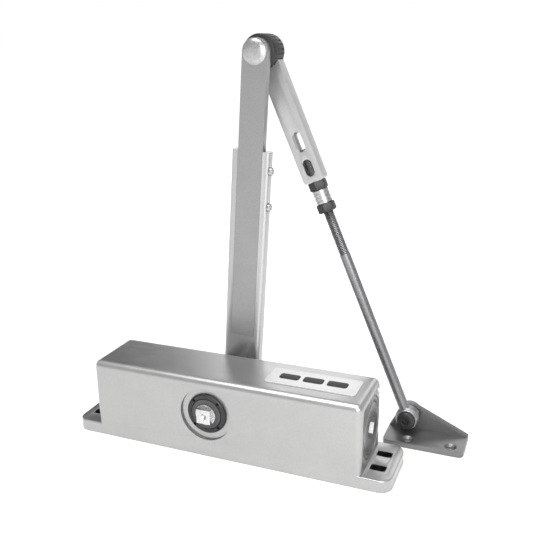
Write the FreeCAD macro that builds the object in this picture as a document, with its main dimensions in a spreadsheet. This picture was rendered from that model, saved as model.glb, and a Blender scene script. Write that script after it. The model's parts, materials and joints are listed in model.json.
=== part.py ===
import FreeCAD, Part
import math
import os
import re

import Sketcher

# Surface-mounted rack-and-pinion door closer with a two-part arm. Millimetres.
# Frame: origin at the centre of the four screw slots, on the plane of the door;
# X along the body, Y along the spindle towards the arm, Z out from the door.

SIZES = [
    ("body_length", 214, "casting between its end faces"),
    ("body_width", 51, "casting along the spindle"),
    ("body_projection", 62, "door face to front face"),
    ("body_edge_radius", 5, "rounding of the outer edges"),
    ("ear_length", 20, "mounting ear beyond each end face"),
    ("ear_thickness", 9, ""),
    ("ear_corner_radius", 9, ""),
    ("slot_pitch_long", 230, "screw slots along the body"),
    ("slot_pitch_wide", 19, "screw slots along the spindle"),
    ("slot_width", 7, ""),
    ("slot_length", 11, "end to end"),
    ("bore_radius", 19.5, "piston bore"),
    ("bore_height", 34, "bore and spindle axis above the door"),
    ("bearing_inset", 0.3, "bearings beyond the bore's wall"),
    ("spindle_place", -11, "spindle axis along the body"),
    ("fit_gap", 0.05, "radial running clearance"),
    ("plug_radius", 22.5, "end plug thread"),
    ("plug_depth", 12, ""),
    ("plug_groove_inset", 4, "seal groove from the plug's inner face"),
    ("plug_socket", 14, "hexagon across its flats"),
    ("plug_socket_depth", 5, ""),
    ("seal_width", 2.6, ""),
    ("seal_depth", 1.6, ""),
    ("nut_radius", 15.5, "bearing nut thread"),
    ("nut_sink", 1.2, "bearing nut below the casting's side"),
    ("recess_radius", 20.5, "round recess about the spindle"),
    ("recess_depth", 3, ""),
    ("key_hole_radius", 1.2, "bearing nut's wrench holes"),
    ("key_hole_depth", 2, ""),
    ("bearing_radius", 11.5, "outside of the needle bearing"),
    ("bearing_length", 3.2, ""),
    ("spindle_seal_length", 1.2, ""),
    ("journal_radius", 8, ""),
    ("square_ratio", 1.375, "spindle square across its flats over the journal radius"),
    ("square_proud", 3.5, "unused square end beyond the casting"),
    ("square_sink", 0.5, "arm's back to the square's end"),
    ("dimple_radius", 2.4, "centre mark in the unused square end"),
    ("dimple_depth", 2, ""),
    ("spacer_wall", 3, ""),
    ("spacer_gap", 0.6, "casting to spacer"),
    ("gear_module", 1.25, ""),
    ("gear_teeth", 16, ""),
    ("gear_width", 26, ""),
    ("pressure_angle", 20, ""),
    ("dedendum", 1.25, "tooth root depth in modules"),
    ("backlash", 0.3, ""),
    ("opening_angle", 180, "spindle turn from the stop, degrees"),
    ("window_margin", 1.3, "pinion tip to the end of its window"),
    ("head_length", 12, "piston head at each end of the window"),
    ("ball_radius", 3, "check valve"),
    ("check_port_depth", 8, ""),
    ("retainer_bore", 1, ""),
    ("retainer_length", 1.5, ""),
    ("seat_gap", 0.3, "spring seat to the bore's wall"),
    ("seat_thickness", 5, ""),
    ("seat_place", 80, "spring seat's piston side"),
    ("adjuster_radius", 4, "spring adjusting screw"),
    ("collar_radius", 7, ""),
    ("collar_length", 4, ""),
    ("collar_gap", 0.1, "collar to the end plug"),
    ("adjuster_inner", 12, "adjusting screw's end before the seat"),
    ("adjuster_sink", 6, "screw's outer end below the end face"),
    ("adjuster_key", 4, "hexagon across its flats"),
    ("adjuster_key_depth", 5, ""),
    ("outer_coil_gap", 1.8, "outer spring to the bore's wall"),
    ("outer_wire_radius", 2.2, ""),
    ("inner_coil_gap", 2.2, "inner spring to the outer one"),
    ("inner_wire_radius", 1.5, ""),
    ("outer_turns", 6, ""),
    ("inner_turns", 9, ""),
    ("spring_gap", 0.3, "spring end to its seat"),
    ("valve_radius", 3.4, ""),
    ("valve_length", 24, ""),
    ("valve_spread", 17.5, "valve from the bore axis, across"),
    ("valve_height", 55.5, "valve axis above the door"),
    ("valve_sink", 1, "screw below the end face"),
    ("valve_slot_width", 1.2, ""),
    ("valve_slot_depth", 1.6, ""),
    ("valve_groove_place", 8, "seal groove from the screw's slot end"),
    ("valve_seal_depth", 1, ""),
    ("arm_gap", 10.5, "casting to arm"),
    ("arm_length", 255, "spindle axis to elbow axis"),
    ("arm_lean", 4.2, "arm from straight out, degrees"),
    ("arm_hub_radius", 17, ""),
    ("channel_width", 30, "lower arm over its flanges"),
    ("channel_base", 3, ""),
    ("channel_end", 186, "lower arm's end from the spindle"),
    ("bar_width", 19.6, "upper arm"),
    ("bar_thickness", 6, ""),
    ("bar_start", 40, "upper arm's inner end from the spindle"),
    ("bar_gap", 0.1, "upper arm in its channel"),
    ("grip_far", 172, "outer set screw from the spindle"),
    ("grip_near", 145, "inner set screw from the spindle"),
    ("grip_radius", 1.6, ""),
    ("grip_place", 3, "set screw axis behind the arm's front"),
    ("grip_head", 2.5, ""),
    ("washer_radius", 10, ""),
    ("washer_thickness", 1.5, ""),
    ("arm_screw_radius", 3, ""),
    ("arm_screw_head_radius", 6.5, ""),
    ("arm_screw_head", 4, ""),
    ("arm_screw_reach", 14, "thread in the spindle"),
    ("screw_key", 5, "hexagon across its flats"),
    ("screw_key_depth", 2.5, ""),
    ("elbow_gap", 0.4, "arm to elbow cover"),
    ("elbow_play", 0.3, "forearm to elbow washer"),
    ("cover_radius", 12.5, "black elbow cover"),
    ("cover_wall", 2.6, "cover's floor"),
    ("eye_radius", 9.3, "forearm's eye"),
    ("rivet_radius", 5, ""),
    ("rivet_head_radius", 9, ""),
    ("rivet_head", 3, ""),
    ("forearm_length", 295, "elbow axis to shoe axis"),
    ("forearm_width", 16, ""),
    ("forearm_thickness", 11, ""),
    ("forearm_end", 100, "forearm's outer end from the elbow"),
    ("forearm_back", 10, "arm's back to the forearm's face"),
    ("window_width", 7, "forearm's windows"),
    ("inner_window_near", 65, "inner window's end centres from the elbow"),
    ("inner_window_far", 73, ""),
    ("outer_window_near", 86, "outer window's end centres from the elbow"),
    ("outer_window_far", 92, ""),
    ("rod_radius", 4, ""),
    ("rod_start", 75, "rod's inner end from the elbow"),
    ("rod_shorten", 20, "rod's travel inwards"),
    ("rod_room", 3, "bore beyond that travel"),
    ("nut_flats", 12.5, "lock nut across its flats"),
    ("nut_length", 6.5, ""),
    ("sleeve_radius", 6.1, ""),
    ("sleeve_length", 11, ""),
    ("rod_eye_radius", 9, ""),
    ("rod_eye_thickness", 8.4, "more than the rod's diameter"),
    ("pivot_radius", 4, "shoe pivot screw"),
    ("pivot_head_radius", 7, ""),
    ("pivot_head", 3.2, ""),
    ("pivot_play", 0.1, "rod eye to washer"),
    ("pivot_key_depth", 2.2, ""),
    ("pivot_washer_wall", 4, ""),
    ("pivot_height", 16, "shoe axis above its base"),
    ("shoe_left", 15, "base left of the shoe axis"),
    ("shoe_right", 45, "base right of the shoe axis"),
    ("shoe_front", 19, "base in front of the forearm's middle"),
    ("shoe_thickness", 4, ""),
    ("lug_thickness", 6, ""),
    ("lug_gap", 1.2, "rod eye to lug"),
    ("lug_radius", 8.5, ""),
    ("lug_top", 6.5, "lug's flat top above the shoe axis"),
    ("lug_top_half", 5, "half of its flat top's width"),
    ("shoe_hole_radius", 2.8, ""),
    ("sink_depth", 1.8, "countersink in the base"),
    ("shoe_hole_pitch", 32, ""),
    ("shoe_hole_place", 19, "hole pair's middle right of the shoe axis"),
    ("shoe_hole_inset", 7, "holes from the base's front edge"),
    ("badge_length", 68, "blank name plate"),
    ("badge_width", 24, ""),
    ("badge_thickness", 0.8, ""),
    ("badge_place", 64, "plate's middle along the body"),
    ("bar_mark_length", 15, "plain dark bar on the plate"),
    ("bar_mark_width", 8, ""),
    ("bar_mark_height", 0.3, ""),
    ("bar_mark_pitch", 18, ""),
]
doc = FreeCAD.newDocument("DoorCloser")
sheet = doc.addObject("Spreadsheet::Sheet", "Sizes")
for row, (alias, value, note) in enumerate(SIZES, 1):
    sheet.set("A%d" % row, alias)
    sheet.set("B%d" % row, str(value))
    sheet.set("C%d" % row, note)
    sheet.setAlias("B%d" % row, alias)
doc.recompute()
ALIAS = re.compile(r"\b(%s)\b" % "|".join(name for name, _, _ in SIZES))

# ---------------------------------------------------------------- named places
SIDE = "body_width / 2"
END = "body_length / 2"
BORE_SIDE = "(bore_radius + bearing_inset)"
NUT_FACE = "(body_width / 2 - nut_sink)"
PLUG_FACE = "(body_length / 2 - plug_depth)"
SQUARE = "(journal_radius * square_ratio)"
OUTER_COIL = "(bore_radius - outer_coil_gap - outer_wire_radius)"
INNER_COIL = "(%s - outer_wire_radius - inner_coil_gap - inner_wire_radius)" % OUTER_COIL
PITCH_RADIUS = "(gear_module * gear_teeth / 2)"
TIP_RADIUS = "(gear_module * gear_teeth / 2 + gear_module)"
TRAVEL = "(gear_module * gear_teeth / 2 * pi * opening_angle / 180)"
WINDOW_LEFT = "(spindle_place - %s - window_margin - %s)" % (TIP_RADIUS, TRAVEL)
WINDOW_RIGHT = "(spindle_place + %s + window_margin)" % TIP_RADIUS
PISTON_LEFT = "(%s - head_length)" % WINDOW_LEFT
PISTON_RIGHT = "(%s + head_length)" % WINDOW_RIGHT
PISTON_RADIUS = "(bore_radius - fit_gap)"
ARM_FRONT = "(body_width / 2 + arm_gap)"
CHANNEL_FLOOR = "(body_width / 2 + arm_gap + bar_thickness)"
ARM_BACK = "(body_width / 2 + arm_gap + bar_thickness + channel_base)"
COVER_FRONT = "(body_width / 2 + arm_gap + bar_thickness + elbow_gap)"
FOREARM_FRONT = "(body_width / 2 + arm_gap + bar_thickness + forearm_back)"
FOREARM_MIDDLE = "(%s + forearm_thickness / 2)" % FOREARM_FRONT
FOREARM_BACK = "(%s + forearm_thickness)" % FOREARM_FRONT
ELBOW_X = "(spindle_place + arm_length * sin(arm_lean * 1 deg))"
ELBOW_Z = "(bore_height + arm_length * cos(arm_lean * 1 deg))"
DROP = "(%s - pivot_height)" % ELBOW_Z
FOREARM_LEAN = "acos(%s / forearm_length)" % DROP
SHOE_X = "(%s + sqrt(forearm_length ^ 2 - %s ^ 2))" % (ELBOW_X, DROP)


def size(name):
    """Number in a cell of the sheet."""
    return float(getattr(sheet, name))


def tie(obj, prop, expression):
    """Bind a property to an expression whose bare names are cells of the sheet."""
    obj.setExpression(prop, ALIAS.sub(r"Sizes.\1", str(expression)))


def turn_to(axis):
    """Rotation that lays a primitive's own Z along the given axis."""
    turns = {"X": ((0, 1, 0), 90), "Y": ((1, 0, 0), -90), "Z": ((0, 0, 1), 0)}
    direction, angle = turns[axis]
    return FreeCAD.Rotation(FreeCAD.Vector(*direction), angle)


def place(obj, x, y, z):
    for axis, expression in zip("xyz", (x, y, z)):
        tie(obj, "Placement.Base." + axis, expression)
    return obj


def box(name, x, y, z):
    """Box from three (low, high) pairs of expressions."""
    obj = doc.addObject("Part::Box", name)
    for prop, (low, high) in zip(("Length", "Width", "Height"), (x, y, z)):
        tie(obj, prop, "(%s) - (%s)" % (high, low))
    return place(obj, x[0], y[0], z[0])


def stand(obj, axis, low, across):
    """Lay a round piece along an axis from low; across gives its two other coordinates."""
    obj.Placement.Rotation = turn_to(axis)
    start = {"X": (low, across[0], across[1]),
             "Y": (across[0], low, across[1]),
             "Z": (across[0], across[1], low)}[axis]
    return place(obj, *start)


def rod(name, axis, radius, low, high, across=("0", "0")):
    obj = doc.addObject("Part::Cylinder", name)
    tie(obj, "Radius", radius)
    tie(obj, "Height", "(%s) - (%s)" % (high, low))
    return stand(obj, axis, low, across)


def cone(name, axis, radius_low, radius_high, low, high, across=("0", "0")):
    obj = doc.addObject("Part::Cone", name)
    tie(obj, "Radius1", radius_low)
    tie(obj, "Radius2", radius_high)
    tie(obj, "Height", "(%s) - (%s)" % (high, low))
    return stand(obj, axis, low, across)


def hexagon(name, axis, flats, low, high, across=("0", "0")):
    obj = doc.addObject("Part::Prism", name)
    obj.Polygon = 6
    tie(obj, "Circumradius", "(%s) / sqrt(3)" % flats)
    tie(obj, "Height", "(%s) - (%s)" % (high, low))
    return stand(obj, axis, low, across)


def fuse(name, *shapes):
    obj = doc.addObject("Part::MultiFuse", name)
    obj.Shapes = list(shapes)
    obj.Refine = True
    return obj


def cut(name, base, *tools):
    obj = doc.addObject("Part::Cut", name)
    obj.Base = base
    obj.Tool = tools[0] if len(tools) == 1 else fuse(name + "_tools", *tools)
    obj.Refine = True
    return obj


def ring(name, axis, outer, inner, low, high, across=("0", "0")):
    return cut(name, rod(name + "_outside", axis, outer, low, high, across),
               rod(name + "_inside", axis, inner, "(%s) - 1" % low, "(%s) + 1" % high, across))


NODES = []


def node(obj, label=None):
    """Keep an object as a sub-part under its own label."""
    obj.Label = label or obj.Name
    NODES.append(obj)
    return obj


# ------------------------------------------------------------------ sketches
def origin_plane(body, role):
    return next(f for f in body.Origin.OriginFeatures if f.Role == role)


def new_sketch(body, name, role):
    sketch = body.newObject("Sketcher::SketchObject", name)
    sketch.AttachmentSupport = [(origin_plane(body, role), "")]
    sketch.MapMode = "FlatFace"
    return sketch


def pin_point(sketch, edge, x, y, start):
    """Tie the first point of an edge (or a circle's centre) to two expressions."""
    point = 3 if start is None else 1
    here = start or (1, 1)
    for kind, expression, value in (("DistanceX", x, here[0]), ("DistanceY", y, here[1])):
        index = sketch.addConstraint(Sketcher.Constraint(kind, -1, 1, edge, point, value))
        tie(sketch, "Constraints[%d]" % index, expression)


def polygon_sketch(body, name, role, corners):
    """Closed outline whose corners are pairs of expressions."""
    sketch = new_sketch(body, name, role)
    count = len(corners)
    ring_points = [(math.cos(2 * math.pi * i / count), math.sin(2 * math.pi * i / count))
                   for i in range(count)]
    for i in range(count):
        first = FreeCAD.Vector(*ring_points[i], 0)
        second = FreeCAD.Vector(*ring_points[(i + 1) % count], 0)
        sketch.addGeometry(Part.LineSegment(first, second))
    for i in range(count):
        sketch.addConstraint(Sketcher.Constraint("Coincident", i, 2, (i + 1) % count, 1))
    for i, (x, y) in enumerate(corners):
        pin_point(sketch, i, x, y, ring_points[i])
    return sketch


def rectangle_sketch(body, name, role, x, y):
    return polygon_sketch(body, name, role,
                          [(x[0], y[0]), (x[1], y[0]), (x[1], y[1]), (x[0], y[1])])


def circle_sketch(body, name, role, circles):
    """Circles given as (x, y, radius) expressions."""
    sketch = new_sketch(body, name, role)
    for i, (x, y, radius) in enumerate(circles):
        sketch.addGeometry(Part.Circle(FreeCAD.Vector(1, 1, 0), FreeCAD.Vector(0, 0, 1), 1))
        pin_point(sketch, i, x, y, None)
        index = sketch.addConstraint(Sketcher.Constraint("Radius", i, 1))
        tie(sketch, "Constraints[%d]" % index, radius)
    return sketch


def pad(body, sketch, length, reverse=False, middle=False):
    feature = body.newObject("PartDesign::Pad", sketch.Name + "_pad")
    feature.Profile = sketch
    tie(feature, "Length", length)
    feature.Reversed = reverse
    feature.Midplane = middle
    return feature


def pocket(body, sketch, length, reverse=False, middle=False):
    """Pocket that has to take material away."""
    doc.recompute()
    before = body.Shape.Volume
    feature = body.newObject("PartDesign::Pocket", sketch.Name + "_pocket")
    feature.Profile = sketch
    tie(feature, "Length", length)
    feature.Reversed = reverse
    feature.Midplane = middle
    doc.recompute()
    if body.Shape.Volume >= before:
        raise RuntimeError(sketch.Name + " takes nothing away")
    return feature


def round_edges(body, name, base, radius, wanted):
    """Fillet the edges of the base feature that the test picks."""
    doc.recompute()
    names = ["Edge%d" % (i + 1) for i, edge in enumerate(base.Shape.Edges) if wanted(edge)]
    feature = body.newObject("PartDesign::Fillet", name)
    feature.Base = (base, names)
    tie(feature, "Radius", radius)
    return feature


def upright(edge):
    low, high = edge.BoundBox.ZMin, edge.BoundBox.ZMax
    return edge.BoundBox.XLength < 0.01 and edge.BoundBox.YLength < 0.01 and high - low > 1


# ------------------------------------------------------------------- casting
def casting():
    body = doc.addObject("PartDesign::Body", "casting")
    half = SIDE
    block = rectangle_sketch(body, "block", "XY_Plane", ("-(%s)" % END, END),
                             ("-(%s)" % half, half))
    block_pad = pad(body, block, "body_projection")
    corners = round_edges(body, "block_corners", block_pad, "body_edge_radius", upright)
    doc.recompute()
    top = round_edges(body, "block_rim", corners, "body_edge_radius",
                      lambda e: e.BoundBox.ZMin > size("body_projection") - 0.01)
    doc.recompute()
    reach = "(%s + ear_length)" % END
    ears = rectangle_sketch(body, "ears", "XY_Plane", ("-" + reach, reach),
                            ("-(%s)" % half, half))
    ears_pad = pad(body, ears, "ear_thickness")
    doc.recompute()
    tip = size("body_length") / 2 + size("ear_length")
    round_edges(body, "ear_corners", ears_pad, "ear_corner_radius",
                lambda e: upright(e) and abs(abs(e.BoundBox.Center.x) - tip) < 0.01)
    doc.recompute()
    bore = circle_sketch(body, "bore", "YZ_Plane", [("0", "bore_height", "bore_radius")])
    pocket(body, bore, "body_length + 2", middle=True)
    for sign in ("", "-"):
        side = "right" if sign == "" else "left"
        seat = circle_sketch(body, "plug_seat_" + side, "YZ_Plane",
                             [("0", "bore_height", "plug_radius")])
        tie(seat, "AttachmentOffset.Base.z", "%s(%s)" % (sign, PLUG_FACE))
        pocket(body, seat, "plug_depth + 1", reverse=(sign == ""))
    cross = circle_sketch(body, "cross_bore", "XZ_Plane",
                          [("spindle_place", "bore_height", "nut_radius")])
    pocket(body, cross, "body_width + 2", middle=True)
    for sign in ("", "-"):
        side = "rear" if sign == "" else "front"
        recess = circle_sketch(body, "recess_" + side, "XZ_Plane",
                               [("spindle_place", "bore_height", "recess_radius")])
        tie(recess, "AttachmentOffset.Base.z",
            "%s(%s - recess_depth)" % ("-" if sign == "" else "", half))
        pocket(body, recess, "recess_depth + 1", reverse=(sign == "-"))
    return body


def slot_cutters():
    """Four cutters for the screw slots, each running along the body."""
    cutters = []
    run = "(slot_length - slot_width) / 2"
    for i, sx in enumerate((-1, 1)):
        for j, sy in enumerate((-1, 1)):
            name = "slot_%d%d" % (i, j)
            x = "(%d * slot_pitch_long / 2)" % sx
            y = "(%d * slot_pitch_wide / 2)" % sy
            z = ("-1", "ear_thickness + 1")
            cutters += [
                box(name + "_middle", (x + " - " + run, x + " + " + run),
                    (y + " - slot_width / 2", y + " + slot_width / 2"), z),
                rod(name + "_left", "Z", "slot_width / 2", z[0], z[1], (x + " - " + run, y)),
                rod(name + "_right", "Z", "slot_width / 2", z[0], z[1], (x + " + " + run, y)),
            ]
    return cutters


VALVES = [("sweep", -1, -1), ("latch", -1, 1), ("backcheck", 1, 1)]


def valve_hole(kind, end, across):
    y = "(%d * valve_spread)" % across
    low = "-(%s) - 1" % END if end < 0 else "%s - valve_length - 1" % END
    high = "-(%s) + valve_length + 1" % END if end < 0 else "%s + 1" % END
    return rod(kind + "_valve_hole", "X", "valve_radius + fit_gap", low, high,
               (y, "valve_height"))


def housing():
    tools = slot_cutters() + [valve_hole(*v) for v in VALVES]
    node(cut("body_casting", casting(), *tools))


# ------------------------------------------------------------ parts of the body
def end_plug(side, sign):
    """Threaded plug with a hexagon socket; the right one carries the adjusting screw."""
    across = ("0", "bore_height")
    if sign > 0:
        low, high = PLUG_FACE, END
        groove_low = "(%s + plug_groove_inset)" % low
        socket_low, socket_high = "%s - plug_socket_depth" % high, high + " + 1"
    else:
        low, high = "-(%s)" % END, "-" + PLUG_FACE
        groove_low = "(%s - plug_groove_inset - seal_width)" % high
        socket_low, socket_high = low + " - 1", "%s + plug_socket_depth" % low
    groove_high = groove_low + " + seal_width"
    disc = rod(side + "_plug_disc", "X", "plug_radius", low, high, across)
    tools = [ring(side + "_plug_groove", "X", "plug_radius + 1", "plug_radius - seal_depth",
                  groove_low, groove_high, across),
             hexagon(side + "_plug_socket", "X", "plug_socket", socket_low, socket_high, across)]
    if sign > 0:
        tools.append(rod(side + "_plug_hole", "X", "adjuster_radius + fit_gap", low + " - 1",
                         high + " + 1", across))
    node(cut(side + "_end_plug", disc, *tools))
    node(ring(side + "_plug_seal", "X", "plug_radius", "plug_radius - seal_depth",
              groove_low, groove_high, across))


def bearing_set(side, sign):
    """Bearing nut, needle bearing and lip seal on one side of the casting."""
    across = ("spindle_place", "bore_height")

    def span(first, second):
        return (first, second) if sign > 0 else ("-(%s)" % second, "-(%s)" % first)

    bearing_end = "%s + bearing_length" % BORE_SIDE
    seal_end = "%s + spindle_seal_length" % bearing_end
    low, high = span(BORE_SIDE, NUT_FACE)
    blank = rod(side + "_nut_blank", "Y", "nut_radius", low, high, across)
    bore = rod(side + "_nut_bore", "Y", "bearing_radius", low + " - 1", high + " + 1", across)
    holes = []
    middle = "(nut_radius + bearing_radius) / 2"
    for i in range(4):
        angle = "(%d * 1 deg)" % (45 + 90 * i)
        x = "(spindle_place + %s * cos%s)" % (middle, angle)
        z = "(bore_height + %s * sin%s)" % (middle, angle)
        first, last = span("%s - key_hole_depth" % NUT_FACE, "%s + 1" % NUT_FACE)
        holes.append(rod("%s_key_hole_%d" % (side, i), "Y", "key_hole_radius", first, last, (x, z)))
    node(cut(side + "_bearing_nut", blank, bore, *holes))
    low, high = span(BORE_SIDE, bearing_end)
    node(ring(side + "_needle_bearing", "Y", "bearing_radius", "journal_radius + fit_gap",
              low, high, across))
    low, high = span(bearing_end, seal_end)
    node(ring(side + "_spindle_seal", "Y", "bearing_radius", "journal_radius + fit_gap",
              low, high, across))


def valve(kind, end, across):
    """Slotted regulating screw with its seal, in an end face of the casting."""
    y = "(%d * valve_spread)" % across
    axis = (y, "valve_height")
    if end < 0:
        low, high = "(valve_sink - %s)" % END, "-(%s) + valve_length" % END
        slot = (low + " - 1", low + " + valve_slot_depth")
        groove_low = "(%s + valve_groove_place)" % low
    else:
        low, high = "%s - valve_length" % END, "(%s - valve_sink)" % END
        slot = (high + " - valve_slot_depth", high + " + 1")
        groove_low = "(%s - valve_groove_place - seal_width)" % high
    groove_high = groove_low + " + seal_width"
    shank = rod(kind + "_shank", "X", "valve_radius", low, high, axis)
    driver = box(kind + "_screw_slot", slot,
                 (y + " - valve_slot_width / 2", y + " + valve_slot_width / 2"),
                 ("valve_height - valve_radius - 1", "valve_height + valve_radius + 1"))
    groove = ring(kind + "_valve_groove", "X", "valve_radius + 1",
                  "valve_radius - valve_seal_depth", groove_low, groove_high, axis)
    node(cut(kind + "_valve", shank, driver, groove))
    node(ring(kind + "_valve_seal", "X", "valve_radius", "valve_radius - valve_seal_depth",
              groove_low, groove_high, axis))


def name_badge():
    """Blank plate with three plain dark bars on the front face."""
    plate = box("badge_blank", ("badge_place - badge_length / 2", "badge_place + badge_length / 2"),
                ("-badge_width / 2", "badge_width / 2"),
                ("body_projection", "body_projection + badge_thickness"))
    node(plate, "name_badge")
    bars = []
    for i in (-1, 0, 1):
        x = "(badge_place + %d * bar_mark_pitch)" % i
        bars.append(box("badge_bar_%d" % (i + 1),
                        (x + " - bar_mark_length / 2", x + " + bar_mark_length / 2"),
                        ("-bar_mark_width / 2", "bar_mark_width / 2"),
                        ("body_projection + badge_thickness",
                         "body_projection + badge_thickness + bar_mark_height")))
    group = doc.addObject("Part::Compound", "badge_bars")
    group.Links = bars
    node(group)


# ---------------------------------------------------------------- piston group
def piston():
    """Hollow piston with a rack along the top of its window."""
    body = doc.addObject("PartDesign::Body", "piston_body")
    disc = circle_sketch(body, "piston_round", "YZ_Plane", [("0", "bore_height", PISTON_RADIUS)])
    tie(disc, "AttachmentOffset.Base.z", PISTON_LEFT)
    pad(body, disc, "(%s) - (%s)" % (PISTON_RIGHT, PISTON_LEFT))
    floor = "(bore_height - %s - window_margin)" % TIP_RADIUS
    root = "(bore_height + %s + dedendum * gear_module)" % PITCH_RADIUS
    window = rectangle_sketch(body, "window", "XZ_Plane", (WINDOW_LEFT, WINDOW_RIGHT),
                              (floor, root))
    pocket(body, window, "2 * bore_radius + 2", middle=True)
    grooves = []
    across = ("0", "bore_height")
    for side, middle in (("left", "(%s - head_length / 2)" % WINDOW_LEFT),
                         ("right", "(%s + head_length / 2)" % WINDOW_RIGHT)):
        grooves.append(ring(side + "_piston_groove", "X", "bore_radius + 1",
                            "(%s - seal_depth)" % PISTON_RADIUS,
                            middle + " - seal_width / 2", middle + " + seal_width / 2", across))
    ball_hole = rod("check_port", "X", "ball_radius", PISTON_LEFT + " - 1",
                    PISTON_LEFT + " + check_port_depth", across)
    return cut("piston_turned", body, ball_hole, *grooves)


def rack_teeth(count):
    """Rack teeth, one prism each; at rest a gap of the rack is in line with the spindle."""
    module = size("gear_module")
    pitch = math.pi * module
    slope = math.tan(math.radians(size("pressure_angle")))
    mid = size("bore_height") + module * size("gear_teeth") / 2
    half_mid = (pitch - size("backlash")) / 4
    top, tip = size("dedendum") * module, -module
    half_root = half_mid + top * slope
    half_tip = half_mid + tip * slope
    chord = 2 * math.sqrt((size("bore_radius") - size("fit_gap")) ** 2
                          - (mid + top - size("bore_height")) ** 2)
    teeth = []
    for i in range(count):
        x = size("spindle_place") + pitch * (0.5 - i)
        outline = [FreeCAD.Vector(x - half_root, -chord / 2, mid + top),
                   FreeCAD.Vector(x + half_root, -chord / 2, mid + top),
                   FreeCAD.Vector(x + half_tip, -chord / 2, mid + tip),
                   FreeCAD.Vector(x - half_tip, -chord / 2, mid + tip)]
        face = Part.Face(Part.makePolygon(outline + outline[:1]))
        teeth.append(face.extrude(FreeCAD.Vector(0, chord, 0)))
    rack = doc.addObject("Part::Feature", "rack_teeth")
    rack.Shape = Part.makeCompound(teeth)
    return rack


def piston_group():
    turned = piston()
    count = int(size("opening_angle") / 360 * size("gear_teeth")) + 3
    node(fuse("piston", turned, rack_teeth(count)))
    across = ("0", "bore_height")
    rings = []
    for side, middle in (("left", "(%s - head_length / 2)" % WINDOW_LEFT),
                         ("right", "(%s + head_length / 2)" % WINDOW_RIGHT)):
        rings.append(ring(side + "_piston_ring", "X", PISTON_RADIUS,
                          "(%s - seal_depth)" % PISTON_RADIUS, middle + " - seal_width / 2",
                          middle + " + seal_width / 2", across))
    group = doc.addObject("Part::Compound", "piston_seals")
    group.Links = rings
    node(group)
    ball = doc.addObject("Part::Sphere", "check_ball")
    tie(ball, "Radius", "ball_radius")
    node(place(ball, PISTON_LEFT + " + check_port_depth - ball_radius", "0", "bore_height"))
    node(ring("check_ball_retainer", "X", "ball_radius", "retainer_bore", PISTON_LEFT,
              PISTON_LEFT + " + retainer_length", across))


def spring(name, coil, wire, turns):
    """Helical compression spring between the piston and its seat."""
    low = "(%s + %s + spring_gap)" % (PISTON_RIGHT, wire)
    high = "(seat_place - %s - spring_gap)" % wire
    helix = doc.addObject("Part::Helix", name + "_line")
    tie(helix, "Radius", coil)
    tie(helix, "Height", "%s - %s" % (high, low))
    tie(helix, "Pitch", "(%s - %s) / %s" % (high, low, turns))
    helix.Placement.Rotation = turn_to("X")
    place(helix, low, "0", "bore_height")
    circle = doc.addObject("Part::Circle", name + "_wire")
    tie(circle, "Radius", wire)
    place(circle, low, "0", "bore_height - %s" % coil)
    circle.Placement.Rotation = FreeCAD.Rotation(FreeCAD.Vector(1, 0, 0), 90)
    sweep = doc.addObject("Part::Sweep", name)
    sweep.Sections = [circle]
    sweep.Spine = (helix, [])
    sweep.Solid = True
    sweep.Frenet = True
    node(sweep)


def spring_adjustment():
    across = ("0", "bore_height")
    disc = rod("seat_disc", "X", "bore_radius - seat_gap", "seat_place",
               "seat_place + seat_thickness", across)
    hole = rod("seat_hole", "X", "adjuster_radius + fit_gap", "seat_place - 1",
               "seat_place + seat_thickness + 1", across)
    node(cut("spring_seat", disc, hole))
    outer = "(%s - adjuster_sink)" % END
    shank = rod("adjuster_shank", "X", "adjuster_radius", "seat_place - adjuster_inner", outer,
                across)
    collar_high = "(%s - collar_gap)" % PLUG_FACE
    collar = rod("adjuster_collar", "X", "collar_radius", collar_high + " - collar_length",
                 collar_high, across)
    socket = hexagon("adjuster_socket", "X", "adjuster_key", outer + " - adjuster_key_depth",
                     outer + " + 1", across)
    node(cut("spring_adjuster", fuse("adjuster_solid", shank, collar), socket))


# --------------------------------------------------------------- spindle group
def involute(angle):
    return math.tan(angle) - angle


def pinion_wire():
    """Outline of the pinion across its axis, one tooth pointing out from the door."""
    module, teeth = size("gear_module"), size("gear_teeth")
    pitch = module * teeth / 2
    pressure = math.radians(size("pressure_angle"))
    base = pitch * math.cos(pressure)
    root, tip = pitch - size("dedendum") * module, pitch + module
    half = (math.pi * module / 2 - size("backlash") / 2) / (2 * pitch)
    flank = []
    steps = 5
    for step in range(steps + 1):
        radius = base + (tip - base) * step / steps
        angle = half + involute(pressure) - involute(math.acos(base / radius))
        flank.append((radius, angle))
    flank.insert(0, (root, flank[0][1]))
    points = []
    for tooth in range(int(teeth)):
        middle = 2 * math.pi * tooth / teeth
        for radius, angle in flank:
            points.append((radius, middle - angle))
        for radius, angle in reversed(flank):
            points.append((radius, middle + angle))
    x, z = size("spindle_place"), size("bore_height")
    y = -size("gear_width") / 2
    vectors = [FreeCAD.Vector(x + r * math.sin(a), y, z + r * math.cos(a)) for r, a in points]
    return Part.makePolygon(vectors + vectors[:1])


def square_about(low, high):
    """Spans of the spindle square between two places along the spindle."""
    return ("spindle_place - %s / 2" % SQUARE, "spindle_place + %s / 2" % SQUARE), (low, high), \
        ("bore_height - %s / 2" % SQUARE, "bore_height + %s / 2" % SQUARE)


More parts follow.
